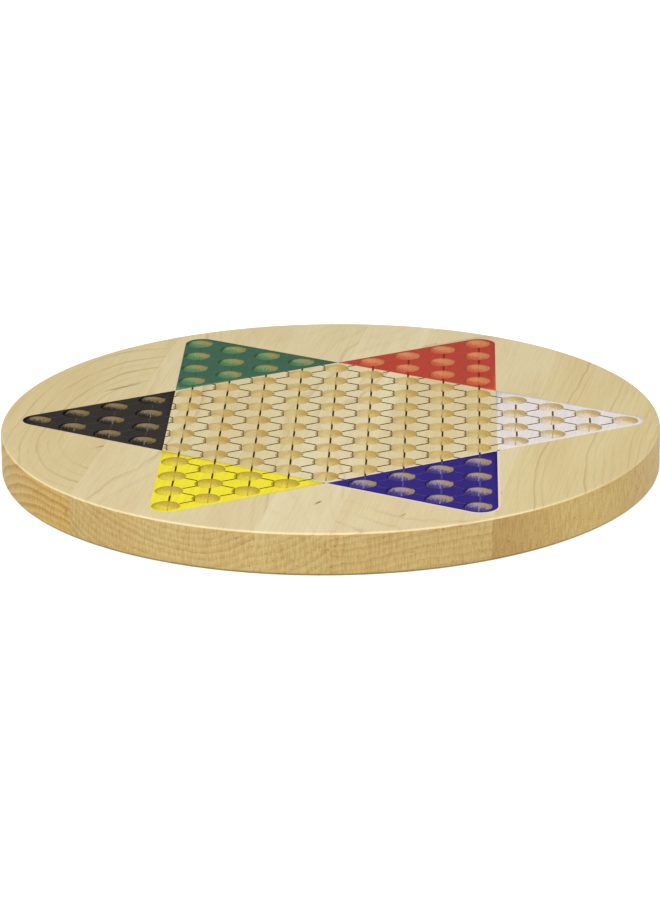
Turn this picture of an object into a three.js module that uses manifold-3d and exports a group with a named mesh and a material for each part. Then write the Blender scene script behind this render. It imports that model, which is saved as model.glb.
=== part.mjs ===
// A round Chinese checkers board: edge-glued maple staves, a star of ball-cut
// seats for marbles, and six coloured points laid flush into the top face.
// Millimetres, +Z up. The origin is the centre of the underside, and +X runs
// from the black point to the white one.

import * as THREE from 'three';
import { mergeGeometries, mergeVertices } from 'three/addons/utils/BufferGeometryUtils.js';
import Module from 'manifold-3d';

const wasm = await Module();
wasm.setup();

// ---- Driving dimensions ----------------------------------------------------

const BOARD_RADIUS = 197;
const BOARD_THICKNESS = 25.4;
const EASED_EDGE = 2;
const EASED_EDGE_STEPS = 2;
const RIM_FACETS = 96;

// The staves lie side by side, and their grain leans from +Y towards +X.
const GRAIN_LEAN = THREE.MathUtils.degToRad(8);
const GLUE_LINE = 0.2;
const STAVES = [
  { name: 'stave_1', width: 73, colour: '#cdb47e' },
  { name: 'stave_2', width: 115.5, colour: '#dac69a' },
  { name: 'stave_3', width: 41.5, colour: '#dcc9a2' },
  { name: 'stave_4', width: 86, colour: '#dac79d' },
  { name: 'stave_5', width: 78, colour: '#d3bb86' },
];

// Seats stand one pitch apart on a triangular grid, in columns along Y.
const PITCH = 25.4;
const HEXAGON_STEPS = 4;
const BALL_CUTTER_RADIUS = 8.3;
const SEAT_DEPTH = 7;
const SEAT_FACETS = 10;
const SEAT_STEPS = 2;

// Each coloured point is a thin layer that lies in a shallow recess. The whole
// printed pattern sits a little to the right of the seats.
const POINT_MARGIN = 10.2;
const PATTERN_SHIFT = 1.3;
const LAYER_THICKNESS = 0.3;
const LAYER_BED = 0.05;
const RECESS_INSET = 0.05;
const LAYER_INSET = 0.2;
const TIP_FACETS = 8;
const POINTS = [
  { name: 'point_white', direction: 0, colour: '#e6deda' },
  { name: 'point_red', direction: 60, colour: '#b8493b' },
  { name: 'point_green', direction: 120, colour: '#446854' },
  { name: 'point_black', direction: 180, colour: '#393533' },
  { name: 'point_yellow', direction: 240, colour: '#f1e23c' },
  { name: 'point_blue', direction: 300, colour: '#382c7c' },
];

// ---- Values worked out from them -------------------------------------------

const TOP = BOARD_THICKNESS;
const COLUMN_SPACING = PITCH * Math.cos(Math.PI / 6);
const TIP_SEAT_DISTANCE = 2 * HEXAGON_STEPS * COLUMN_SPACING;
const POINT_BASE_DISTANCE = HEXAGON_STEPS * COLUMN_SPACING + POINT_MARGIN;
const CUT_CLEARANCE = 1;

// ---- Joining and cutting ---------------------------------------------------

function toSolid(geometry) {
  const bare = geometry.clone();
  bare.deleteAttribute('normal');
  bare.deleteAttribute('uv');
  const merged = mergeVertices(bare);
  return new wasm.Manifold(new wasm.Mesh({
    numProp: 3,
    vertProperties: new Float32Array(merged.attributes.position.array),
    triVerts: new Uint32Array(merged.index.array),
  }));
}

function toGeometry(solid) {
  const mesh = solid.getMesh();
  const geometry = new THREE.BufferGeometry();
  geometry.setAttribute('position', new THREE.BufferAttribute(mesh.vertProperties, 3));
  geometry.setIndex(new THREE.BufferAttribute(mesh.triVerts, 1));
  return geometry;
}

// ---- The disc --------------------------------------------------------------

// A quarter circle that starts at the given angle and turns left.
function quarterArc(centreX, centreY, start) {
  const points = [];
  for (let step = 0; step <= EASED_EDGE_STEPS; step += 1) {
    const angle = start + (Math.PI / 2) * (step / EASED_EDGE_STEPS);
    const x = centreX + EASED_EDGE * Math.cos(angle);
    const y = centreY + EASED_EDGE * Math.sin(angle);
    points.push(new THREE.Vector2(x, y));
  }
  return points;
}

function disc() {
  const inner = BOARD_RADIUS - EASED_EDGE;
  const profile = [
    new THREE.Vector2(0, 0),
    ...quarterArc(inner, EASED_EDGE, -Math.PI / 2),
    ...quarterArc(inner, TOP - EASED_EDGE, 0),
    new THREE.Vector2(0, TOP),
  ];
  const geometry = new THREE.LatheGeometry(profile, RIM_FACETS);
  return toSolid(geometry.rotateX(Math.PI / 2));
}

// ---- Seats -----------------------------------------------------------------

// A place on the grid has three coordinates that add up to zero. The star is
// two crossed triangles: one bounds every coordinate below, the other above.
function isSeat(first, second) {
  const coordinates = [first, second, -first - second];
  const inUpperTriangle = coordinates.every((value) => value >= -HEXAGON_STEPS);
  const inLowerTriangle = coordinates.every((value) => value <= HEXAGON_STEPS);
  return inUpperTriangle || inLowerTriangle;
}

function seatCentres() {
  const reach = 2 * HEXAGON_STEPS;
  const centres = [];
  for (let first = -reach; first <= reach; first += 1) {
    for (let second = -reach; second <= reach; second += 1) {
      if (isSeat(first, second)) {
        centres.push(new THREE.Vector2(first * COLUMN_SPACING, (second + first / 2) * PITCH));
      }
    }
  }
  return centres;
}

// One seat's waste: the cap of a ball, carried up past the top face.
function seatCutterGeometry() {
  const ballCentre = TOP - SEAT_DEPTH + BALL_CUTTER_RADIUS;
  const rimAngle = Math.acos((BALL_CUTTER_RADIUS - SEAT_DEPTH) / BALL_CUTTER_RADIUS);
  const profile = [];
  for (let step = 0; step <= SEAT_STEPS; step += 1) {
    const angle = rimAngle * (step / SEAT_STEPS);
    const radius = BALL_CUTTER_RADIUS * Math.sin(angle);
    profile.push(new THREE.Vector2(radius, ballCentre - BALL_CUTTER_RADIUS * Math.cos(angle)));
  }
  const rimRadius = BALL_CUTTER_RADIUS * Math.sin(rimAngle);
  profile.push(new THREE.Vector2(rimRadius, TOP + CUT_CLEARANCE));
  profile.push(new THREE.Vector2(0, TOP + CUT_CLEARANCE));
  return new THREE.LatheGeometry(profile, SEAT_FACETS).rotateX(Math.PI / 2);
}

function allSeatCutters() {
  const cutter = seatCutterGeometry();
  const copies = seatCentres().map((centre) => cutter.clone().translate(centre.x, centre.y, 0));
  return toSolid(mergeGeometries(copies));
}

// ---- Coloured points -------------------------------------------------------

// The outline of the point that lies along +X, drawn in by the given inset: a
// straight base on the hexagon's side, and two flanks that meet round the tip.
function pointOutline(inset) {
  const base = POINT_BASE_DISTANCE + inset;
  const flank = POINT_BASE_DISTANCE - inset;
  const tipRadius = POINT_MARGIN - inset;
  const halfBase = (flank - base * Math.cos(Math.PI / 3)) / Math.sin(Math.PI / 3);
  const outline = new THREE.Shape();
  outline.moveTo(base, halfBase);
  outline.lineTo(base, -halfBase);
  outline.absarc(TIP_SEAT_DISTANCE, 0, tipRadius, -Math.PI / 3, Math.PI / 3, false);
  outline.closePath();
  return outline;
}

// A slab with a point's outline, from the given height up.
function pointSlab(direction, inset, bottom, height) {
  const settings = { depth: height, bevelEnabled: false, curveSegments: TIP_FACETS };
  const geometry = new THREE.ExtrudeGeometry(pointOutline(inset), settings);
  geometry.rotateZ(THREE.MathUtils.degToRad(direction));
  return toSolid(geometry.translate(PATTERN_SHIFT, 0, bottom));
}

function pointRecess(direction) {
  const bottom = TOP - LAYER_THICKNESS - LAYER_BED;
  return pointSlab(direction, RECESS_INSET, bottom, TOP + CUT_CLEARANCE - bottom);
}

function pointLayer(direction, seatCutters) {
  const slab = pointSlab(direction, LAYER_INSET, TOP - LAYER_THICKNESS, LAYER_THICKNESS);
  return slab.subtract(seatCutters);
}

// ---- Staves ----------------------------------------------------------------

// The strip of the board between two glue lines, taller than the board.
function staveStrip(start, width) {
  const length = 2 * BOARD_RADIUS + 2 * CUT_CLEARANCE;
  const height = TOP + 2 * CUT_CLEARANCE;
  const strip = new THREE.BoxGeometry(width - GLUE_LINE, length, height);
  strip.translate(start + width / 2, 0, TOP / 2);
  return toSolid(strip.rotateZ(-GRAIN_LEAN));
}

function cutBoard(seatCutters) {
  const seated = disc().subtract(seatCutters);
  return POINTS.reduce((board, point) => board.subtract(pointRecess(point.direction)), seated);
}

// ---- The assembly ----------------------------------------------------------

function mapleMaterial(colour) {
  return new THREE.MeshStandardMaterial({
    color: colour,
    roughness: 0.5,
    metalness: 0,
    flatShading: true,
  });
}

function colourMaterial(colour) {
  return new THREE.MeshStandardMaterial({
    color: colour,
    roughness: 0.45,
    metalness: 0,
    flatShading: true,
  });
}

function namedMesh(name, solid, material) {
  const mesh = new THREE.Mesh(toGeometry(solid), material);
  mesh.name = name;
  return mesh;
}

const board = new THREE.Group();
const seatCutters = allSeatCutters();
const boardSolid = cutBoard(seatCutters);

let staveStart = -BOARD_RADIUS;
for (const stave of STAVES) {
  const solid = boardSolid.intersect(staveStrip(staveStart, stave.width));
  board.add(namedMesh(stave.name, solid, mapleMaterial(stave.colour)));
  staveStart += stave.width;
}

for (const point of POINTS) {
  const solid = pointLayer(point.direction, seatCutters);
  board.add(namedMesh(point.name, solid, colourMaterial(point.colour)));
}

export default board;
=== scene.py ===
"""The looks of a round maple Chinese checkers board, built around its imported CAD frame.

The board is five edge-glued maple staves with 121 ball-cut seats. Six coloured points and the lines
between the seats are printed on it from above, so the ink reaches the top face and the walls that face
the print head, and leaves the steep far and right walls of the seats as bare wood.
"""

import math

import bmesh
import bpy
from mathutils import Matrix, Vector
from mathutils.bvhtree import BVHTree
from mathutils.geometry import delaunay_2d_cdt


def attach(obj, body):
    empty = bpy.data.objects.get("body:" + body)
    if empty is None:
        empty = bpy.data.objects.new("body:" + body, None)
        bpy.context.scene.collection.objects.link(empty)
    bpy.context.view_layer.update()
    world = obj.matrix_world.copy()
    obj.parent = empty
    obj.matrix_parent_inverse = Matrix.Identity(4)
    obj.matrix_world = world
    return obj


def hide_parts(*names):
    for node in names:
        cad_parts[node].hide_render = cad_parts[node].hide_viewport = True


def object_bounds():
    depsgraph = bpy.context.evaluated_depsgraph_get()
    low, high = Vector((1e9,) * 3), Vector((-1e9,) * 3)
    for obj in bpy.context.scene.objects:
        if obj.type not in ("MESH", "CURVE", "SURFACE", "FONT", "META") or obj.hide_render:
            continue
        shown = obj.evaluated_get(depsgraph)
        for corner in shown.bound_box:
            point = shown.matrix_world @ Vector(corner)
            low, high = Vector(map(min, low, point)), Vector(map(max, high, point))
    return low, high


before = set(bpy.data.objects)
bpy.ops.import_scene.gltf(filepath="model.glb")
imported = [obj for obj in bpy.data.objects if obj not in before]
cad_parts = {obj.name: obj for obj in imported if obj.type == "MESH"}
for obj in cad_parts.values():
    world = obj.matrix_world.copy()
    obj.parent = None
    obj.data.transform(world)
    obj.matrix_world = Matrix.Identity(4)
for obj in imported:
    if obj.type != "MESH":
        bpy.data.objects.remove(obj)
CAD_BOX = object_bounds()

MM = 0.001

# ---- The board, as the CAD part has it -------------------------------------

BOARD_RADIUS = (CAD_BOX[1].x - CAD_BOX[0].x) / 2
TOP = CAD_BOX[1].z
EASED_EDGE = 2 * MM
GRAIN_LEAN = math.radians(8)
STAVE_COUNT = 5

PITCH = 25.4 * MM
HEXAGON_STEPS = 4
COLUMN_SPACING = PITCH * math.cos(math.pi / 6)
BALL_RADIUS = 8.3 * MM
SEAT_DEPTH = 7 * MM
RIM_ROUNDING = 0.25 * MM

POINT_MARGIN = 10.2 * MM
PATTERN_SHIFT = Vector((1.3 * MM, 0))
TIP_SEAT_DISTANCE = 2 * HEXAGON_STEPS * COLUMN_SPACING
POINT_BASE_DISTANCE = HEXAGON_STEPS * COLUMN_SPACING + POINT_MARGIN

# ---- The print -------------------------------------------------------------

# The way the ink comes from: a little to the right and from behind.
INK_FROM = Vector((0.174, 0.253, 0.952)).normalized()
# The cosine between a wall's normal and INK_FROM at which ink begins to land, and at which it covers.
INK_REACH = 0.09
INK_COVERS = 0.42
FILM_THICKNESS = 0.05 * MM
PAINT_LIFT = 0.03 * MM
# How deep the painted shade along a seat's rim reaches, in millimetres: on its far wall and on its left
# wall.
RIM_SHADE_FAR = 0.6
RIM_SHADE_LEFT = 1.6
INK_GLOSS = 0.0
INK_ROUGHNESS = 0.6
WOOD_GLOSS = 0.08
WOOD_ROUGHNESS = 0.5
BUMP_DISTANCE = 0.02 * MM
# The lines that run front to back drift to the left as they run down into a seat.
COLUMNS_FROM = Vector((0.18, 0, 1)).normalized()
STRAIGHT_DOWN = Vector((0, 0, 1))
LINE_LIFT = 0.07 * MM
LINE_WIDTH = 1.1 * MM
LINE_WIDTH_IN_SEAT = 0.75 * MM
LINE_PARTS_ACROSS = 4
# A line breaks off where a part of it would be drawn out to more than this many times its length.
LINE_MOST_STRETCH = 9
# How far the cosine rises above INK_REACH before a line's ink covers.
LINE_COVER_RANGE = 0.35
# Lines that run front to back have few rows of points up to here from a seat's middle, then close ones
# over its rim.
RIM_ROWS_FROM = 6.7 * MM
RIM_ROW_SPACING = 0.2 * MM
# The least cover of a line that runs front to back, which the print head still reaches faintly.
COLUMN_LEAST_COVER = 0.25
# A slanted line stops at the rim of the seat it leaves. Where it meets the next seat it turns and runs
# down that seat's left wall, towards the wall's middle.
RIM_REACH = BALL_RADIUS + RIM_ROUNDING
RUN_MIDDLE = Vector((-6.9 * MM, 0))
RUN_COVER = 0.65
RUN_STEPS = 14
# The width of the white underprint that shows round the blue point.
UNDERPRINT_MARGIN = 1.3 * MM
# The names under which a line's points store how much ink landed on them, and which way the line runs.
COVER = "ink_cover"
SLANTED = "slanted"

# ---- How finely the meshes are made ----------------------------------------

RIM_SEGMENTS = 240
EDGE_STEPS = 8
SEAT_SEGMENTS = 48
BALL_STEPS = 12
ROUNDING_STEPS = 4
TIP_STEPS = 24
# The width of the flat ring kept beside every rounded edge, so that its shading stays at the edge.
SUPPORT = 0.35 * MM
MERGE_DISTANCE = 0.001 * MM

# ---- Colours, as linear RGB reflectances -----------------------------------


def srgb(red, green, blue):
    """A linear colour from its 8-bit sRGB values."""
    def linear(value):
        share = value / 255
        if share <= 0.04045:
            return share / 12.92
        return ((share + 0.055) / 1.055) ** 2.4
    return (linear(red), linear(green), linear(blue), 1)


# Each field has the colour of its flat top ("ink"), of the seat walls the ink reaches ("wall"), and of
# the walls it doesn't, on the left where its mist drifts ("mist") and on the right ("bare"). "rim" says
# how strong the painted shade is along the far and left rims of the seats. "line" is the colour of its
# lines.
# "columns" and "diagonals" say how much of that colour shows in its lines that run front to back and in
# its other lines: in the seats, and on the flat top.
FIELDS = {
    "maple": {
        "direction": None,
        "ink": None,
        "line": srgb(62, 44, 16),
        "columns": (0.68, 1),
        "diagonals": (0.8, 1),
    },
    "white": {
        "direction": 0,
        "ink": srgb(230, 222, 218),
        "wall": srgb(226, 215, 197),
        "mist": srgb(204, 186, 137),
        "bare": srgb(195, 171, 116),
        "rim": 0,
        "line": srgb(92, 76, 56),
        "columns": (0.5, 1),
        "diagonals": (0.9, 1),
    },
    "red": {
        "direction": 60,
        "ink": srgb(184, 73, 59),
        "wall": srgb(208, 106, 78),
        "mist": srgb(222, 161, 112),
        "bare": srgb(213, 149, 102),
        "rim": 0.25,
        "line": srgb(112, 42, 22),
        "columns": (0.25, 0.85),
        "diagonals": (0.2, 0.1),
    },
    "green": {
        "direction": 120,
        "ink": srgb(68, 104, 84),
        "wall": srgb(93, 141, 103),
        "mist": srgb(152, 169, 112),
        "bare": srgb(167, 158, 102),
        "rim": 0.6,
        "line": srgb(50, 84, 62),
        "columns": (0.15, 0.4),
        "diagonals": (0.1, 0.1),
    },
    "black": {
        "direction": 180,
        "ink": srgb(57, 53, 51),
        "wall": srgb(54, 50, 47),
        "mist": srgb(158, 141, 106),
        "bare": srgb(150, 131, 88),
        "rim": 0.9,
        "line": srgb(150, 146, 152),
        "columns": (0.6, 0.06),
        "diagonals": (0.1, 0.02),
    },
    "yellow": {
        "direction": 240,
        "ink": srgb(241, 226, 60),
        "wall": srgb(223, 208, 78),
        "mist": srgb(198, 174, 77),
        "bare": srgb(198, 174, 79),
        "rim": 0.3,
        "line": srgb(80, 64, 4),
        "columns": (0.45, 1),
        "diagonals": (0.8, 1),
    },
    "blue": {
        "direction": 300,
        "ink": srgb(56, 44, 124),
        "wall": srgb(80, 69, 142),
        "mist": srgb(184, 169, 170),
        "bare": srgb(183, 161, 132),
        "rim": 0.85,
        "line": srgb(170, 165, 204),
        "columns": (0.55, 0.11),
        "diagonals": (0.1, 0.015),
    },
}

UNDERPRINT_COLOUR = srgb(220, 207, 203)

# Bare maple on the walls of the seats, on the left and on the right.
SEAT_WALL_LEFT = srgb(213, 197, 139)
SEAT_WALL_RIGHT = srgb(199, 175, 106)

# Each stave's colour where it faces up and on its rim. "pith" is where its growth rings centre: across
# the stave from its middle, above the underside, where along the stave it bends closest to the top (all
# in millimetres), and how fast it bends away. "rings" says how dark the rings show on top and on the rim,
# and "seam_shade" how much the rim darkens towards the glue line on the stave's left.
STAVES = [
    {
        "pale": srgb(213, 197, 149),
        "bare": srgb(194, 167, 100),
        "pith": (40, -22, -20, 0.0016),
        "rings": (0.5, 0.5),
        "seam_shade": 0,
    },
    {
        "pale": srgb(218, 204, 161),
        "bare": srgb(187, 166, 112),
        "pith": (10, 130, 0, 0.0004),
        "rings": (0.45, 0.3),
        "seam_shade": 0,
    },
    {
        "pale": srgb(223, 211, 172),
        "bare": srgb(185, 166, 112),
        "pith": (-35, 130, 0, 0.0006),
        "rings": (0.45, 0.24),
        "seam_shade": 0,
    },
    {
        "pale": srgb(219, 204, 162),
        "bare": srgb(184, 163, 110),
        "pith": (10, -260, 30, 0.0005),
        "rings": (0.4, 0.24),
        "seam_shade": 0,
    },
    {
        "pale": srgb(215, 198, 149),
        "bare": srgb(191, 168, 110),
        "pith": (150, -40, 0, 0.0003),
        "rings": (0.5, 0.06),
        "seam_shade": 0.7,
    },
]
SEAM_SHADE = srgb(160, 130, 80)

# Growth rings: their spacing and how far they wander from round, in millimetres.
RING_SPACING = 4.2
WANDER_ACROSS = 20
WANDER_UP = 16

# Tints that the maple is multiplied by: in warm patches, in growth rings and in the rim's dark flecks.
WARM_TINT = srgb(226, 190, 140)
RING_TINT = srgb(188, 144, 98)
FLECK_TINT = srgb(186, 146, 104)

# The eased edges of the rim: a painted highlight on the upper one, where the light catches it, and painted
# shade on the lower one.
LIT_EDGE = srgb(242, 226, 182)
SHADED_LOWER_EDGE = srgb(120, 98, 62)

# Marks in the wood: the stave, the place (across, along, up) and half sizes in millimetres, how far the
# mark leans clockwise from the grain, and how dark it is.
MARKS = [
    (1, (-125, -67, 25.4), (1.3, 7, 2), 40, 0.75),
    (1, (-137, 45, 25.4), (1.8, 18, 2), 44, 0.7),
    (1, (-127, -150, 14), (1.2, 20, 3.5), 0, 0.6),
    (3, (18.1, -145.7, 25.4), (1.3, 5.5, 2), 20, 0.95),
    (3, (30.5, -190, 16), (0.9, 12, 6), 0, 0.6),
    (4, (68.8, -159.2, 25.4), (1, 5, 2), 17, 0.6),
    (4, (36, -190, 12), (4, 12, 0.8), 0, 0.7),
    (4, (77, -182, 12), (3, 12, 0.7), 0, 0.5),
]
MARK_COLOUR = srgb(146, 104, 58)

# ---- Places ----------------------------------------------------------------

ACROSS = Vector((math.cos(GRAIN_LEAN), -math.sin(GRAIN_LEAN), 0))


def seam_offsets():
    """Where the glue lines lie, measured across the grain from the board's middle."""
    reaches = []
    for number in range(1, STAVE_COUNT + 1):
        offsets = [ACROSS.dot(v.co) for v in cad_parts[f"stave_{number}"].data.vertices]
        reaches.append((min(offsets), max(offsets)))
    return [(left[1] + right[0]) / 2 for left, right in zip(reaches, reaches[1:])]


def is_seat(first, second):
    """Whether that place on the triangular grid lies in the star of two crossed triangles."""
    coordinates = (first, second, -first - second)
    return min(coordinates) >= -HEXAGON_STEPS or max(coordinates) <= HEXAGON_STEPS


def seat_centres():
    """The seats' centres on the top face, keyed by their grid coordinates."""
    reach = range(-2 * HEXAGON_STEPS, 2 * HEXAGON_STEPS + 1)
    return {
        (first, second): Vector((first * COLUMN_SPACING, (second + first / 2) * PITCH))
        for first in reach
        for second in reach
        if is_seat(first, second)
    }


def heading(degrees):
    """The unit vector in the top face that points that way."""
    return Vector((math.cos(math.radians(degrees)), math.sin(math.radians(degrees))))


def field_at(place):
    """The name of the printed field that a place on the top face lies in."""
    for name, field in FIELDS.items():
        if field["direction"] is None:
            continue
        if heading(field["direction"]).dot(place - PATTERN_SHIFT) > POINT_BASE_DISTANCE:
            return name
    return "maple"


# ---- Mesh making -----------------------------------------------------------


def seat_profile(lift):
    """(radius, height above the top face) down one seat from its flat surround to its lowest point.

    A lift above 0 gives the surface of a film that thick on the wood.
    """
    ball_height = BALL_RADIUS - SEAT_DEPTH
    reach = BALL_RADIUS + RIM_ROUNDING
    rise = ball_height + RIM_ROUNDING
    rounding_centre = math.sqrt(reach ** 2 - rise ** 2)
    rounding = RIM_ROUNDING + lift
    ball = BALL_RADIUS - lift
    points = [(rounding_centre + SUPPORT, lift)]
    upright = math.pi / 2
    towards_ball = math.atan2(rise, -rounding_centre)
    for step in range(ROUNDING_STEPS + 1):
        angle = upright + (towards_ball - upright) * step / ROUNDING_STEPS
        points.append((
            rounding_centre + rounding * math.cos(angle),
            -RIM_ROUNDING + rounding * math.sin(angle),
        ))
    start = math.atan2(rounding_centre, rise)
    for step in range(1, BALL_STEPS + 1):
        angle = start * (1 - step / BALL_STEPS)
        points.append((ball * math.sin(angle), ball_height - ball * math.cos(angle)))
    return points


def circle(centre, radius, segments):
    """Points round a circle, as 2-D vectors."""
    return [centre + radius * heading(360 * i / segments) for i in range(segments)]


def add_rings(bm, centre, profile, segments):
    """Adds the surface that a profile of (radius, height) makes round an upright axis."""
    rings = []
    for radius, height in profile:
        if radius < MERGE_DISTANCE:
            rings.append([bm.verts.new((centre.x, centre.y, height))] * segments)
        else:
            places = circle(centre, radius, segments)
            rings.append([bm.verts.new((p.x, p.y, height)) for p in places])
    for upper, lower in zip(rings, rings[1:]):
        for i in range(segments):
            j = (i + 1) % segments
            corners = []
            for vert in (upper[i], lower[i], lower[j], upper[j]):
                if vert not in corners:
                    corners.append(vert)
            bm.faces.new(corners)


def add_flat(bm, outline, holes, height):
    """Adds a flat face with that outline and round holes, as triangles."""
    points = list(outline)
    edges = [(i, (i + 1) % len(outline)) for i in range(len(outline))]
    for centre, radius, segments in holes:
        first = len(points)
        points += circle(centre, radius, segments)
        edges += [(first + i, first + (i + 1) % segments) for i in range(segments)]
    verts, _, faces, _, _, _ = delaunay_2d_cdt(points, edges, [list(range(len(outline)))], 1, 1e-9)
    made = [bm.verts.new((v.x, v.y, height)) for v in verts]
    for face in faces:
        middle = sum((verts[i] for i in face), Vector((0, 0))) / len(face)
        inside_hole = any((middle - centre).length < radius * math.cos(math.pi / segments)
                          for centre, radius, segments in holes)
        if not inside_hole:
            bm.faces.new([made[i] for i in face])


def clean_up(bm):
    """Joins the points that meet, drops the loose ones, and points the faces outward."""
    bmesh.ops.remove_doubles(bm, verts=bm.verts, dist=MERGE_DISTANCE)
    loose = [v for v in bm.verts if not v.link_faces]
    bmesh.ops.delete(bm, geom=loose, context="VERTS")
    bmesh.ops.recalc_face_normals(bm, faces=bm.faces)
    for face in bm.faces:
        face.smooth = True


def board_profile():
    """(radius, height) from the flat top round the eased edges to the flat underside."""
    inner = BOARD_RADIUS - EASED_EDGE
    points = [(inner - SUPPORT, TOP)]
    for centre_height, start in ((TOP - EASED_EDGE, math.pi / 2), (EASED_EDGE, 0)):
        for step in range(EDGE_STEPS + 1):
            angle = start - (math.pi / 2) * step / EDGE_STEPS
            points.append((
                inner + EASED_EDGE * math.cos(angle),
                centre_height + EASED_EDGE * math.sin(angle),
            ))
    points.append((inner - SUPPORT, 0))
    return points


def whole_board():
    """The board before it is parted into staves: a closed mesh with all its seats."""
    bm = bmesh.new()
    origin = Vector((0, 0))
    inner = BOARD_RADIUS - EASED_EDGE - SUPPORT
    profile = seat_profile(0)
    seats = seat_centres().values()
    outline = circle(origin, inner, RIM_SEGMENTS)
    add_flat(bm, outline, [(seat, profile[0][0], SEAT_SEGMENTS) for seat in seats], TOP)
    add_rings(bm, origin, board_profile(), RIM_SEGMENTS)
    bm.faces.new([bm.verts.new((p.x, p.y, 0)) for p in outline])
    lowered = [(radius, TOP + height) for radius, height in profile]
    for seat in seats:
        add_rings(bm, seat, lowered, SEAT_SEGMENTS)
    clean_up(bm)
    return bm


def cut_away(bm, offset, side):
    """Cuts the board at a glue line and closes the cut. side is 1 to cut away what lies beyond it."""
    plane = {"plane_co": ACROSS * offset, "plane_no": ACROSS * side}
    everything = bm.verts[:] + bm.edges[:] + bm.faces[:]
    cut = bmesh.ops.bisect_plane(bm, geom=everything, dist=1e-8, clear_outer=True, **plane)
    edges = [e for e in cut["geom_cut"] if isinstance(e, bmesh.types.BMEdge)]
    bmesh.ops.triangle_fill(bm, edges=edges, use_beauty=True, normal=plane["plane_no"])
    for edge in edges:
        edge.smooth = False


def make_piece(name, bm, material, replaced=None):
    """Turns a bmesh into a finished piece that rides with the board, and frees the bmesh."""
    crowded = [f for f in bm.faces if len(f.verts) > 4]
    bmesh.ops.triangulate(bm, faces=crowded)
    mesh = bpy.data.meshes.new(name)
    bm.to_mesh(mesh)
    bm.free()
    mesh.materials.append(material)
    piece = bpy.data.objects.new(name, mesh)
    bpy.context.scene.collection.objects.link(piece)
    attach(piece, "root")
    if replaced:
        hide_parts(replaced)


def thicken(bm):
    """Gives an open film its thickness, downward from the surface it was drawn on."""
    bmesh.ops.recalc_face_normals(bm, faces=bm.faces)
    if sum(f.normal.z * f.calc_area() for f in bm.faces) < 0:
        bmesh.ops.reverse_faces(bm, faces=bm.faces)
    bmesh.ops.solidify(bm, geom=bm.faces[:], thickness=FILM_THICKNESS)


# ---- Shader nodes ----------------------------------------------------------


class Nodes:
    """Adds and joins the shader nodes of one new material."""

    def __init__(self, name):
        self.material = bpy.data.materials.new(name)
        self.material.use_nodes = True
        self.tree = self.material.node_tree
        self.shader = self.tree.nodes["Principled BSDF"]

    def feed(self, socket, value):
        """Joins another node's output to a socket, or sets the socket's own value."""
        if isinstance(value, bpy.types.NodeSocket):
            self.tree.links.new(value, socket)
        else:
            socket.default_value = value

    def add(self, kind, inputs=(), **settings):
        """A new node of that kind with its inputs fed and its settings made."""
        node = self.tree.nodes.new(kind)
        for key, value in settings.items():
            setattr(node, key, value)
        for key, value in dict(inputs).items():
            self.feed(node.inputs[key], value)
        return node

    def math(self, operation, *values):
        """The outcome of a math node."""
        return self.add("ShaderNodeMath", dict(enumerate(values)), operation=operation).outputs[0]

    def vector(self, operation, *values):
        """The outcome of a vector math node, a number or a vector."""
        node = self.add("ShaderNodeVectorMath", dict(enumerate(values)), operation=operation)
        as_number = operation in ("DOT_PRODUCT", "LENGTH", "DISTANCE")
        return node.outputs["Value" if as_number else "Vector"]

    def place(self):
        """The place on the board, in millimetres."""
        return self.vector("MULTIPLY", self.add("ShaderNodeTexCoord").outputs["Object"], (1000,) * 3)

    def turned(self, vector, angle):
        """The vector turned by that angle about the upright axis."""
        rotate = {"Vector": vector, "Angle": angle}
        node = self.add("ShaderNodeVectorRotate", rotate, rotation_type="Z_AXIS")
        return node.outputs[0]

    def parts(self, vector):
        """A vector's x, y and z."""
        return self.add("ShaderNodeSeparateXYZ", {0: vector}).outputs[:3]

    def joined(self, x, y, z):
        """The vector with those parts."""
        return self.add("ShaderNodeCombineXYZ", {0: x, 1: y, 2: z}).outputs[0]

    def noise(self, vector, sizes, detail=2, roughness=0.5):
        """Noise from 0 to 1 whose features are that long along x, y and z, in millimetres."""
        scaled = self.vector("DIVIDE", vector, sizes)
        inputs = {"Vector": scaled, "Scale": 1, "Detail": detail, "Roughness": roughness}
        return self.add("ShaderNodeTexNoise", inputs).outputs[0]

    def spread(self, value, low, high, to_low=0, to_high=1, smooth=True):
        """The value, carried from the range low to high into to_low to to_high, and kept inside it."""
        inputs = {"Value": value, 1: low, 2: high, 3: to_low, 4: to_high}
        kind = "SMOOTHSTEP" if smooth else "LINEAR"
        return self.add("ShaderNodeMapRange", inputs, interpolation_type=kind).outputs[0]

    def mix(self, share, first, second, blend="MIX"):
        """The first colour with that share of the second one blended in."""
        inputs = {0: share, 6: first, 7: second}
        node = self.add("ShaderNodeMix", inputs, data_type="RGBA", blend_type=blend)
        return node.outputs[2]

    def ramp(self, value, stops):
        """A colour ramp through (position, colour) stops."""
        node = self.add("ShaderNodeValToRGB", {0: value})
        elements = node.color_ramp.elements
        while len(elements) < len(stops):
            elements.new(0.5)
        for element, (position, colour) in zip(elements, stops):
            element.position = position
            element.color = colour
        return node.outputs[0]

    def finish(self, colour, roughness, specular, bump_height=None):
        """The finished material, with fine relief where a height is given."""
        self.feed(self.shader.inputs["Base Color"], colour)
        self.shader.inputs["Roughness"].default_value = roughness
        self.shader.inputs["Specular IOR Level"].default_value = specular
        if bump_height is not None:
            bump = {"Height": bump_height, "Distance": BUMP_DISTANCE, "Strength": 0.5}
            normal = self.add("ShaderNodeBump", bump).outputs[0]
            self.feed(self.shader.inputs["Normal"], normal)
        return self.material


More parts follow.
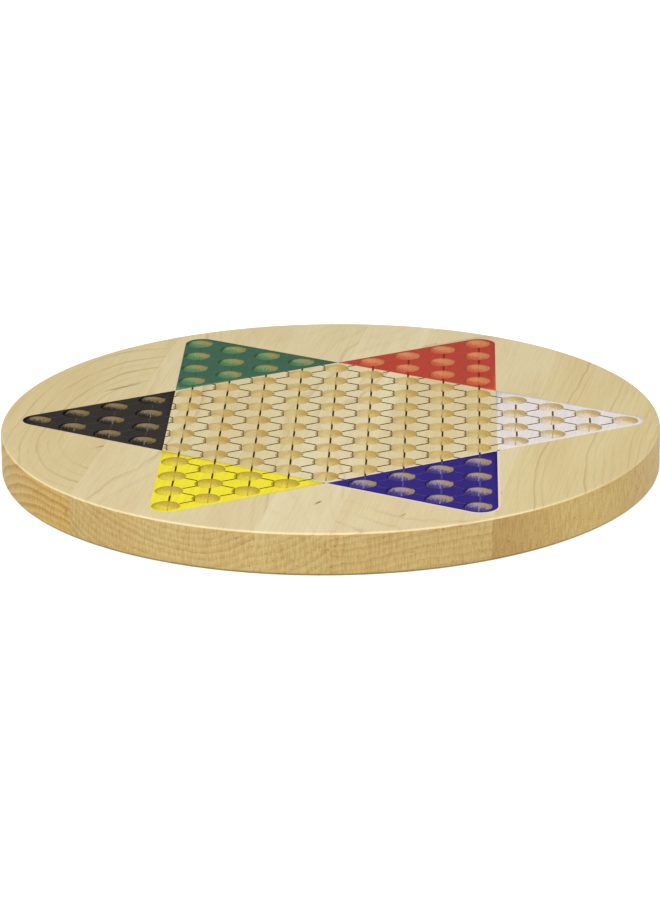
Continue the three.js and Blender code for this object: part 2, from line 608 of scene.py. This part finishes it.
def facing_print(nodes, place):
    """The cosine between the surface's normal and the way the ink comes, broken up into fine streaks."""
    normal = nodes.add("ShaderNodeNewGeometry").outputs["Normal"]
    facing = nodes.vector("DOT_PRODUCT", normal, tuple(INK_FROM))
    streaks = nodes.noise(place, (0.5, 0.5, 5), detail=1)
    return nodes.math("ADD", facing, nodes.spread(streaks, 0.2, 0.8, -0.12, 0.12))


def darker(colour, share):
    """The colour with only that share of its light."""
    return tuple(part * share for part in colour[:3]) + (1,)


def painted_rim_shade(nodes, place, strength):
    """How strongly painted shade darkens a seat just inside its rim, on its far and left walls."""
    depth = nodes.math("SUBTRACT", TOP / MM, nodes.parts(place)[2])
    across, along, _ = nodes.parts(nodes.add("ShaderNodeNewGeometry").outputs["Normal"])
    turned_away = nodes.math("MULTIPLY_ADD", along, -0.9, nodes.math("MULTIPLY", across, 0.35))
    reach = nodes.spread(across, 0.5, 1.0, RIM_SHADE_FAR, RIM_SHADE_LEFT)
    near_rim = nodes.spread(nodes.math("DIVIDE", depth, reach), 0.7, 1.3, 1, 0)
    band = nodes.math("MULTIPLY", near_rim, nodes.spread(depth, 0, 0.05))
    return nodes.math("MULTIPLY", band, nodes.spread(turned_away, 0.02, 0.3, 0, strength))


def wall_colour(nodes, left, right):
    """The colour of a seat's walls: one colour on its left side, another on its right."""
    normal = nodes.add("ShaderNodeNewGeometry").outputs["Normal"]
    return nodes.mix(nodes.spread(nodes.parts(normal)[0], -0.45, 0.3), right, left)


def seat_maple(nodes, place, pale):
    """Unprinted maple in a seat: bare on the walls turned from the print head, paler towards it."""
    bare = wall_colour(nodes, SEAT_WALL_LEFT, SEAT_WALL_RIGHT)
    # Painted shade: the bare walls darken towards half their light in a thin band just inside the far and
    # left rims.
    bare = nodes.mix(painted_rim_shade(nodes, place, 0.1), bare, darker(SEAT_WALL_RIGHT, 0.5))
    return nodes.mix(nodes.spread(facing_print(nodes, place), 0.08, 0.9, smooth=False), bare, pale)


def grain_lines(nodes, grain):
    """Fine fibre along the grain, from 0 to 1, close to 0.5."""
    long_fibre = nodes.noise(grain, (1.1, 60, 1.1), detail=3)
    short_fibre = nodes.noise(grain, (0.45, 9, 0.45), detail=1)
    return nodes.math("MULTIPLY_ADD", short_fibre, 0.4, nodes.math("MULTIPLY", long_fibre, 0.6))


def growth_rings(nodes, grain, stave, middle, seed):
    """Growth lines as they show on top and on the rim: shells round the tree's bent, wandering middle."""
    shifted = nodes.vector("ADD", grain, (seed * 310, seed * 170, seed * 90))
    wander_across = nodes.noise(shifted, (80, 220, 80), detail=1)
    wander_up = nodes.noise(nodes.vector("ADD", shifted, (900, 0, 0)), (70, 180, 60), detail=1)
    ripple = nodes.noise(shifted, (7, 30, 7), detail=1)
    across, along, up = nodes.parts(grain)
    pith_across, pith_up, bend_at, bend = stave["pith"]
    from_bend = nodes.math("SUBTRACT", along, bend_at)
    bent = nodes.math("MULTIPLY", nodes.math("MULTIPLY", from_bend, from_bend), bend)
    sideways = nodes.math("SUBTRACT", across, middle + pith_across + WANDER_ACROSS / 2)
    upward = nodes.math("ADD", nodes.math("SUBTRACT", up, pith_up + WANDER_UP / 2), bent)
    sideways = nodes.math("MULTIPLY_ADD", wander_across, WANDER_ACROSS, sideways)
    upward = nodes.math("MULTIPLY_ADD", wander_up, WANDER_UP, upward)
    radius = nodes.vector("LENGTH", nodes.joined(sideways, 0, upward))
    turns = nodes.math("MULTIPLY_ADD", ripple, 0.45, nodes.math("DIVIDE", radius, RING_SPACING))
    share = nodes.math("FRACT", turns)
    number = {"W": nodes.math("FLOOR", turns)}
    chance = nodes.add("ShaderNodeTexWhiteNoise", number, noise_dimensions="1D").outputs[0]
    fading = nodes.spread(nodes.noise(shifted, (30, 110, 30)), 0.3, 0.65, 0.2, 1)
    falling = nodes.spread(share, 0.92, 1.0, 1, 0)
    thin = nodes.math("MULTIPLY", nodes.spread(share, 0.6, 0.92), falling)
    wide = nodes.math("MULTIPLY", nodes.spread(share, 0.1, 0.92), falling)
    on_top = nodes.math("MULTIPLY", thin, nodes.math("MULTIPLY", nodes.math("POWER", chance, 1.6), fading))
    on_rim = nodes.math("MULTIPLY", wide, nodes.spread(chance, 0, 1, 0.45, 1))
    return on_top, on_rim


def end_grain(nodes, place, rings):
    """Fine upright ticks and dark flecks of the rim, as a colour to multiply by."""
    ticks = nodes.noise(place, (0.9, 0.9, 7), detail=2, roughness=0.7)
    ticked = nodes.ramp(ticks, [(0.32, srgb(232, 226, 212)), (0.58, srgb(255, 255, 255))])
    flecks = nodes.spread(nodes.noise(place, (1.8, 1.8, 0.8), detail=1), 0.6, 0.78)
    near_ring = nodes.math("MULTIPLY", flecks, nodes.spread(rings, 0.05, 0.6, 0.05, 0.8))
    return nodes.mix(near_ring, ticked, FLECK_TINT, blend="MULTIPLY")


def add_marks(nodes, grain, number, colour):
    """Darkens the colour where the stave has knots and streaks."""
    for stave, place, half_sizes, lean, darkness in MARKS:
        if stave != number:
            continue
        local = nodes.turned(nodes.vector("SUBTRACT", grain, place), math.radians(lean))
        distance = nodes.vector("LENGTH", nodes.vector("DIVIDE", local, half_sizes))
        ragged = nodes.math("MULTIPLY_ADD", nodes.noise(local, (1.5, 5, 1.5)), 1.1, distance)
        colour = nodes.mix(nodes.spread(ragged, 1.55, 0.75, 0, darkness), colour, MARK_COLOUR)
    return colour


def rim_edge_highlight_and_shade(nodes, colour):
    """Paints a highlight on the upper eased edge, where the light catches it, and paints shade on the lower
    one.
    """
    normal = nodes.add("ShaderNodeNewGeometry").outputs["Normal"]
    across, along, up = nodes.parts(normal)
    towards_light = nodes.math("MULTIPLY_ADD", across, -0.25, nodes.math("MULTIPLY", along, -1))
    band = nodes.math("MULTIPLY", nodes.spread(up, 0.35, 0.65), nodes.spread(up, 0.75, 0.95, 1, 0))
    catching = nodes.math("MULTIPLY", band, nodes.spread(towards_light, 0.1, 0.6, 0.15, 0.75))
    lit = nodes.mix(catching, colour, LIT_EDGE)
    # Painted shade on the lower eased edge, which faces down.
    return nodes.mix(nodes.spread(up, -0.05, -0.5, 0, 0.75), lit, SHADED_LOWER_EDGE)


def maple(number, stave, seams):
    """Sealed maple for one stave: pale where it faces up, golden on its rim and seat walls."""
    nodes = Nodes(f"maple_{number}")
    place = nodes.place()
    grain = nodes.turned(place, GRAIN_LEAN)
    edges = [-BOARD_RADIUS, *seams, BOARD_RADIUS]
    left, right = edges[number - 1] / MM, edges[number] / MM
    normal_up = nodes.parts(nodes.add("ShaderNodeNewGeometry").outputs["Normal"])[2]
    on_top = nodes.spread(normal_up, 0.3, 0.9)
    across, along, _ = nodes.parts(place)
    from_axis = nodes.vector("LENGTH", nodes.joined(across, along, 0))
    on_rim = nodes.math("GREATER_THAN", from_axis, (BOARD_RADIUS - 1.2 * EASED_EDGE) / MM)
    top_rings, rim_rings = growth_rings(nodes, grain, stave, (left + right) / 2, number)

    near_seam = nodes.spread(nodes.parts(grain)[0], left, left + 45, stave["seam_shade"], 0)
    rim = nodes.mix(near_seam, stave["bare"], SEAM_SHADE)
    rim = nodes.mix(1, rim, end_grain(nodes, place, rim_rings), blend="MULTIPLY")
    rim = nodes.mix(on_top, rim, stave["pale"])
    rim = rim_edge_highlight_and_shade(nodes, rim)
    colour = nodes.mix(on_rim, seat_maple(nodes, place, stave["pale"]), rim)

    tone = nodes.noise(grain, (22, 140, 30), detail=2)
    warm = nodes.mix(nodes.spread(tone, 0.3, 0.7, 0, 0.17), colour, WARM_TINT, blend="MULTIPLY")
    top_strength, rim_strength = stave["rings"]
    top_share = nodes.math("MULTIPLY", top_rings, nodes.math("MULTIPLY", on_top, top_strength))
    rim_share = nodes.math("MULTIPLY", rim_rings, nodes.spread(on_top, 0, 1, rim_strength, 0))
    ring_share = nodes.math("ADD", top_share, rim_share)
    ringed = nodes.mix(ring_share, warm, RING_TINT, blend="MULTIPLY")
    fibre = grain_lines(nodes, grain)
    shade = nodes.ramp(fibre, [(0.35, srgb(247, 244, 237)), (0.58, srgb(255, 255, 255))])
    fibred = nodes.mix(1, ringed, shade, blend="MULTIPLY")
    marked = add_marks(nodes, grain, number, fibred)
    return nodes.finish(marked, WOOD_ROUGHNESS, WOOD_GLOSS, fibre)


def paint(name, field):
    """Printed colour: even on top, thinning down the seats' walls to bare wood."""
    nodes = Nodes(f"{name}_ink")
    place = nodes.place()
    grain = nodes.turned(place, GRAIN_LEAN)
    colour = field_colour(nodes, place, grain, field)
    return nodes.finish(colour, INK_ROUGHNESS, INK_GLOSS, grain_lines(nodes, grain))


def field_colour(nodes, place, grain, field):
    """A field's colour at a place: its ink, thin ink or bare wood by how much ink landed there."""
    facing = facing_print(nodes, place)
    bare = wall_colour(nodes, field["mist"], field["bare"])
    reached = nodes.mix(nodes.spread(facing, INK_REACH, INK_COVERS), bare, field["wall"])
    colour = nodes.mix(nodes.spread(facing, 0.5, 0.85), reached, field["ink"])
    # Painted shade: the ink darkens to a fifth of its light in a band just inside the seats' far and left
    # rims.
    colour = nodes.mix(painted_rim_shade(nodes, place, field["rim"]), colour, darker(field["ink"], 0.2))
    fibre = grain_lines(nodes, grain)
    shade = nodes.ramp(fibre, [(0.3, srgb(236, 236, 236)), (0.65, srgb(255, 255, 255))])
    return nodes.mix(1, colour, shade, blend="MULTIPLY")


# ---- Pieces ----------------------------------------------------------------


def make_staves(board):
    """The five staves, cut from the whole board at its glue lines."""
    seams = seam_offsets()
    for number, stave in enumerate(STAVES, 1):
        bm = board.copy()
        if number > 1:
            cut_away(bm, seams[number - 2], -1)
        if number < STAVE_COUNT:
            cut_away(bm, seams[number - 1], 1)
        material = maple(number, stave, seams)
        make_piece(f"maple_stave_{number}", bm, material, f"stave_{number}")


def point_outline(direction, margin=0):
    """A coloured point's outline: straight across its base, with a round tip, on its own heading.

    A margin above 0 gives the outline that much further out.
    """
    along, across = heading(direction), heading(direction + 90)
    base = along * (POINT_BASE_DISTANCE - margin)
    half_base = POINT_BASE_DISTANCE / math.sqrt(3) + margin * math.sqrt(3)
    outline = [base + across * half_base, base - across * half_base]
    tip = along * TIP_SEAT_DISTANCE
    for step in range(TIP_STEPS + 1):
        turn = -60 + 120 * step / TIP_STEPS
        outline.append(tip + (POINT_MARGIN + margin) * heading(direction + turn))
    return [point + PATTERN_SHIFT for point in outline]


def make_paint():
    """The six coloured points, as films that follow the top face down into their seats."""
    profile = seat_profile(PAINT_LIFT)
    lowered = [(radius, TOP + height) for radius, height in profile]
    for name, field in FIELDS.items():
        if field["direction"] is None:
            continue
        seats = [seat for seat in seat_centres().values() if field_at(seat + PATTERN_SHIFT) == name]
        bm = bmesh.new()
        holes = [(seat, profile[0][0], SEAT_SEGMENTS) for seat in seats]
        add_flat(bm, point_outline(field["direction"]), holes, TOP + PAINT_LIFT)
        for seat in seats:
            add_rings(bm, seat, lowered, SEAT_SEGMENTS)
        clean_up(bm)
        thicken(bm)
        make_piece(f"painted_point_{name}", bm, paint(name, field), f"point_{name}")


def make_underprint():
    """The white ring of underprint that the blue point leaves uncovered."""
    nodes = Nodes("underprint")
    grain = nodes.turned(nodes.place(), GRAIN_LEAN)
    fibre = grain_lines(nodes, grain)
    colour = nodes.mix(nodes.spread(fibre, 0.3, 0.65, 0.25, 0.05), UNDERPRINT_COLOUR, STAVES[3]["pale"])
    direction = FIELDS["blue"]["direction"]
    inner = point_outline(direction)
    outer = point_outline(direction, UNDERPRINT_MARGIN)
    bm = bmesh.new()
    rings = [[bm.verts.new((p.x, p.y, TOP + PAINT_LIFT)) for p in ring] for ring in (inner, outer)]
    for i in range(len(inner)):
        j = (i + 1) % len(inner)
        bm.faces.new((rings[0][i], rings[0][j], rings[1][j], rings[1][i]))
    thicken(bm)
    material = nodes.finish(colour, INK_ROUGHNESS, INK_GLOSS, fibre)
    make_piece("white_underprint", bm, material)


def column_stations():
    """(distance from a seat's middle, line width) along a line from one seat to the next one behind."""
    in_seat = [RIM_ROWS_FROM * step / 10 for step in range(10)]
    over_rim = [RIM_ROWS_FROM + RIM_ROW_SPACING * step for step in range(15)]
    half = [(distance, LINE_WIDTH_IN_SEAT) for distance in in_seat + over_rim[:8]]
    half += [(distance, LINE_WIDTH) for distance in over_rim[8:]]
    return half + [(PITCH - distance, width) for distance, width in reversed(half)]


def landing(tree, place, coming_from):
    """Where ink meant for a place on the top face lands, just off the surface, and how much lands."""
    start = Vector((place.x, place.y, TOP)) + 2 * MM * coming_from
    hit, normal, _, _ = tree.ray_cast(start, -coming_from)
    cover = (normal.dot(INK_FROM) - INK_REACH) / LINE_COVER_RANGE
    return hit + normal * LINE_LIFT, min(max(cover, 0), 1)


def add_strip(bm, tree, rows, least_cover, coming_from=STRAIGHT_DOWN, slanted=1):
    """Adds a strip of ink through rows of places, broken off where it would be drawn out too far."""
    share = bm.verts.layers.float[COVER]
    slant = bm.verts.layers.float[SLANTED]
    made = []
    for row in rows:
        verts = []
        for place in row:
            point, cover = landing(tree, place, coming_from)
            vert = bm.verts.new(point)
            vert[share] = max(cover, least_cover)
            vert[slant] = slanted
            verts.append((place, vert))
        made.append(verts)
    for first, second in zip(made, made[1:]):
        for i in range(len(first) - 1):
            corners = [first[i], first[i + 1], second[i + 1], second[i]]
            stretch = max(
                (here[1].co - after[1].co).length / max((here[0] - after[0]).length, MERGE_DISTANCE)
                for here, after in zip(corners, corners[1:] + corners[:1])
            )
            if stretch < LINE_MOST_STRETCH:
                bm.faces.new([vert for _, vert in corners])


def line_rows(stations, across):
    """Rows of places across a line, at each (place on its middle, width)."""
    shares = [part / LINE_PARTS_ACROSS - 0.5 for part in range(LINE_PARTS_ACROSS + 1)]
    return [[middle + across * width * share for share in shares] for middle, width in stations]


def add_column(bm, tree, start):
    """Adds the line that runs from one seat through to the seat behind it."""
    along = Vector((0, 1))
    stations = [(start + along * distance, width) for distance, width in column_stations()]
    add_strip(bm, tree, line_rows(stations, Vector((1, 0))), COLUMN_LEAST_COVER, COLUMNS_FROM, 0)


def rim_crossing(start, along, seat, side):
    """How far from its start a line crosses a seat's rim. side is 1 where it leaves, -1 where it arrives."""
    to_seat = seat - start
    nearest = along.dot(to_seat)
    off_centre = to_seat.length_squared - nearest ** 2
    return nearest + side * math.sqrt(RIM_REACH ** 2 - off_centre)


def add_slanted(bm, tree, seat, neighbour):
    """Adds the line from the rim of one seat to the rim of the next, and its run down the next wall."""
    start = seat + PATTERN_SHIFT
    along = (neighbour - seat) / PITCH
    across = Vector((-along.y, along.x))
    leaving = rim_crossing(start, along, seat, 1)
    arriving = rim_crossing(start, along, neighbour, -1)
    steps = [0.1 * MM * step for step in range(-1, 5)]
    distances = [leaving + step for step in steps] + [arriving - step for step in reversed(steps)]
    stations = [(start + along * distance, LINE_WIDTH) for distance in distances]
    add_strip(bm, tree, line_rows(stations, across), 1)
    arrival = start + along * arriving
    run = neighbour + RUN_MIDDLE - arrival
    places = [(arrival + run * step / RUN_STEPS, LINE_WIDTH_IN_SEAT) for step in range(RUN_STEPS + 1)]
    add_strip(bm, tree, line_rows(places, Vector((1, 0))), RUN_COVER)


def line_network(tree):
    """All the lines between neighbouring seats."""
    bm = bmesh.new()
    bm.verts.layers.float.new(COVER)
    bm.verts.layers.float.new(SLANTED)
    seats = seat_centres()
    for (first, second), seat in seats.items():
        if (first, second + 1) in seats:
            add_column(bm, tree, seat + PATTERN_SHIFT)
        for step in ((1, 0), (1, -1)):
            neighbour = seats.get((first + step[0], second + step[1]))
            if neighbour:
                add_slanted(bm, tree, seat, neighbour)
    bmesh.ops.remove_doubles(bm, verts=bm.verts, dist=MERGE_DISTANCE)
    return bm


def line_material(name, field):
    """Line ink over the field's own colour, which shows through it in the seats."""
    nodes = Nodes(f"{name}_line")
    place = nodes.place()
    grain = nodes.turned(place, GRAIN_LEAN)
    if field["ink"] is None:
        under = seat_maple(nodes, place, STAVES[2]["pale"])
    else:
        under = field_colour(nodes, place, grain, field)
    height = nodes.parts(place)[2]
    depth = (TOP / MM - 1.0, TOP / MM - 0.1)
    columns = nodes.spread(height, *depth, *field["columns"])
    diagonals = nodes.spread(height, *depth, *field["diagonals"])
    slanted = nodes.add("ShaderNodeAttribute", attribute_name=SLANTED).outputs["Fac"]
    strength = nodes.add("ShaderNodeMix", {0: slanted, 2: columns, 3: diagonals}).outputs[0]
    cover = nodes.add("ShaderNodeAttribute", attribute_name=COVER).outputs["Fac"]
    colour = nodes.mix(nodes.math("MULTIPLY", cover, strength), under, field["line"])
    return nodes.finish(colour, INK_ROUGHNESS, INK_GLOSS)


def make_lines(board):
    """The printed lines, parted at the points' bases into one piece for each field."""
    network = line_network(BVHTree.FromBMesh(board))
    for field in FIELDS.values():
        if field["direction"] is None:
            continue
        facing = heading(field["direction"]).to_3d()
        base = facing * POINT_BASE_DISTANCE + PATTERN_SHIFT.to_3d()
        everything = network.verts[:] + network.edges[:] + network.faces[:]
        bmesh.ops.bisect_plane(network, geom=everything, dist=1e-8, plane_co=base, plane_no=facing)
    for name, field in FIELDS.items():
        bm = network.copy()
        others = [f for f in bm.faces if field_at(f.calc_center_median().to_2d()) != name]
        bmesh.ops.delete(bm, geom=others, context="FACES")
        clean_up(bm)
        thicken(bm)
        make_piece(f"printed_lines_{name}", bm, line_material(name, field))
    network.free()


def make_floor():
    """A plain pale floor under the board."""
    bpy.ops.mesh.primitive_plane_add(size=12)
    floor = bpy.context.object
    floor.name = "floor"
    nodes = Nodes("pale_floor")
    nodes.feed(nodes.shader.inputs["Emission Color"], (1, 1, 1, 1))
    nodes.feed(nodes.shader.inputs["Emission Strength"], 0.5)
    floor.data.materials.append(nodes.finish(srgb(240, 240, 240), 0.9, 0))


# ---- Light and camera ------------------------------------------------------


def soft_light(name, place, size, power):
    """A round soft light that points at the board's middle."""
    light = bpy.data.lights.new(name, "AREA")
    light.shape = "DISK"
    light.size = size
    light.energy = power
    lamp = bpy.data.objects.new(name, light)
    lamp.location = place
    lamp.rotation_euler = (-Vector(place)).to_track_quat("-Z", "Y").to_euler()
    bpy.context.scene.collection.objects.link(lamp)


def make_light():
    """Two large soft lights, above and in front, in an evenly lit pale room."""
    soft_light("softbox_over", (-0.1, -1.25, 1.8), size=1.6, power=16.5)
    soft_light("softbox_front", (-0.4, -2.2, 1.3), size=1.4, power=12.5)
    world = bpy.data.worlds.new("studio")
    world.use_nodes = True
    background = world.node_tree.nodes["Background"]
    background.inputs["Color"].default_value = (1, 1, 1, 1)
    background.inputs["Strength"].default_value = 0.7
    bpy.context.scene.world = world
    bpy.context.scene.view_settings.view_transform = "Standard"


def make_camera():
    """A long lens from the front, a little to the right and 19 degrees up."""
    azimuth, elevation, roll = math.radians(2.05), math.radians(18.95), math.radians(0.594)
    target = Vector((1.6 * MM, -55.7 * MM, TOP + 0.2 * MM))
    distance = 2.3406
    away = Vector((
        math.sin(azimuth) * math.cos(elevation),
        -math.cos(azimuth) * math.cos(elevation),
        math.sin(elevation),
    ))
    data = bpy.data.cameras.new("camera")
    data.lens = 159.8
    data.clip_end = 50
    camera = bpy.data.objects.new("camera", data)
    standing = Matrix.Translation(target + away * distance)
    looking = (-away).to_track_quat("-Z", "Y").to_matrix().to_4x4()
    camera.matrix_world = standing @ looking @ Matrix.Rotation(-roll, 4, "Z")
    bpy.context.scene.collection.objects.link(camera)
    bpy.context.scene.camera = camera


board = whole_board()
make_staves(board)
make_paint()
make_underprint()
make_lines(board)
make_floor()
make_light()
make_camera()
